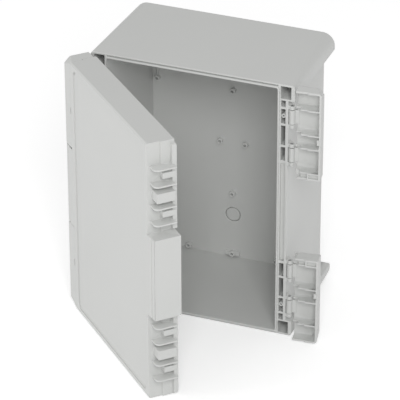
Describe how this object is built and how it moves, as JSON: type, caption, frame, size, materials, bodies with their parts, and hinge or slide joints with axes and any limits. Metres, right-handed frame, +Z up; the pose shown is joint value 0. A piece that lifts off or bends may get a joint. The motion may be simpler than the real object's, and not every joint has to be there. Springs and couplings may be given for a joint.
{
  "type": "hinged plastic enclosure",
  "caption": "Wall-mounting plastic enclosure with a deep base, a tray-shaped lid on side latches that also serve as hinges, and cored, waisted sides.",
  "frame": {"origin": "centre of the four wall screw holes, on the back face", "axes": "+Y along the wall screws into the wall, +Z up, +X to the right as seen from the front"},
  "size_m": [0.2953, 0.3244, 0.32],
  "materials": {
    "housing": "light grey moulded plastic, fine satin texture",
    "gasket": "closed-cell foam seal",
    "pin": "drawn stainless steel pin"
  },
  "bodies": {
    "base": {"base_housing": "housing", "latch_pin_right_upper_outer": "pin", "latch_pin_right_upper_inner": "pin", "latch_pin_right_lower_outer": "pin", "latch_pin_right_lower_inner": "pin", "latch_pin_left_upper_outer": "pin", "latch_pin_left_upper_inner": "pin", "latch_pin_left_lower_outer": "pin", "latch_pin_left_lower_inner": "pin"},
    "lid": {"lid": "housing", "lid_gasket": "gasket"},
    "latch_right_upper": {"latch_right_upper": "housing"},
    "latch_right_lower": {"latch_right_lower": "housing"},
    "latch_left_upper": {"latch_left_upper": "housing"},
    "latch_left_lower": {"latch_left_lower": "housing"}
  },
  "joints": [
    {"name": "lid_hinge", "type": "hinge", "parent": "base", "child": "lid", "pos_m": [-0.1165, -0.135, 0], "axis": [0, 0, -1], "range_deg": [-44.2, 65]},
    {"name": "latch_right_upper_turn", "type": "hinge", "parent": "base", "child": "latch_right_upper", "pos_m": [0.1165, -0.135, 0], "axis": [0, 0, 1], "range_deg": [-97.5, 15]},
    {"name": "latch_right_lower_turn", "type": "hinge", "parent": "base", "child": "latch_right_lower", "pos_m": [0.1165, -0.135, 0], "axis": [0, 0, 1], "range_deg": [-97.5, 15]},
    {"name": "latch_left_upper_turn", "type": "hinge", "parent": "lid", "child": "latch_left_upper", "pos_m": [-0.1165, -0.135, 0], "axis": [0, 0, 1], "range_deg": [-70, 0]},
    {"name": "latch_left_lower_turn", "type": "hinge", "parent": "lid", "child": "latch_left_lower", "pos_m": [-0.1165, -0.135, 0], "axis": [0, 0, 1], "range_deg": [-70, 0]}
  ]
}
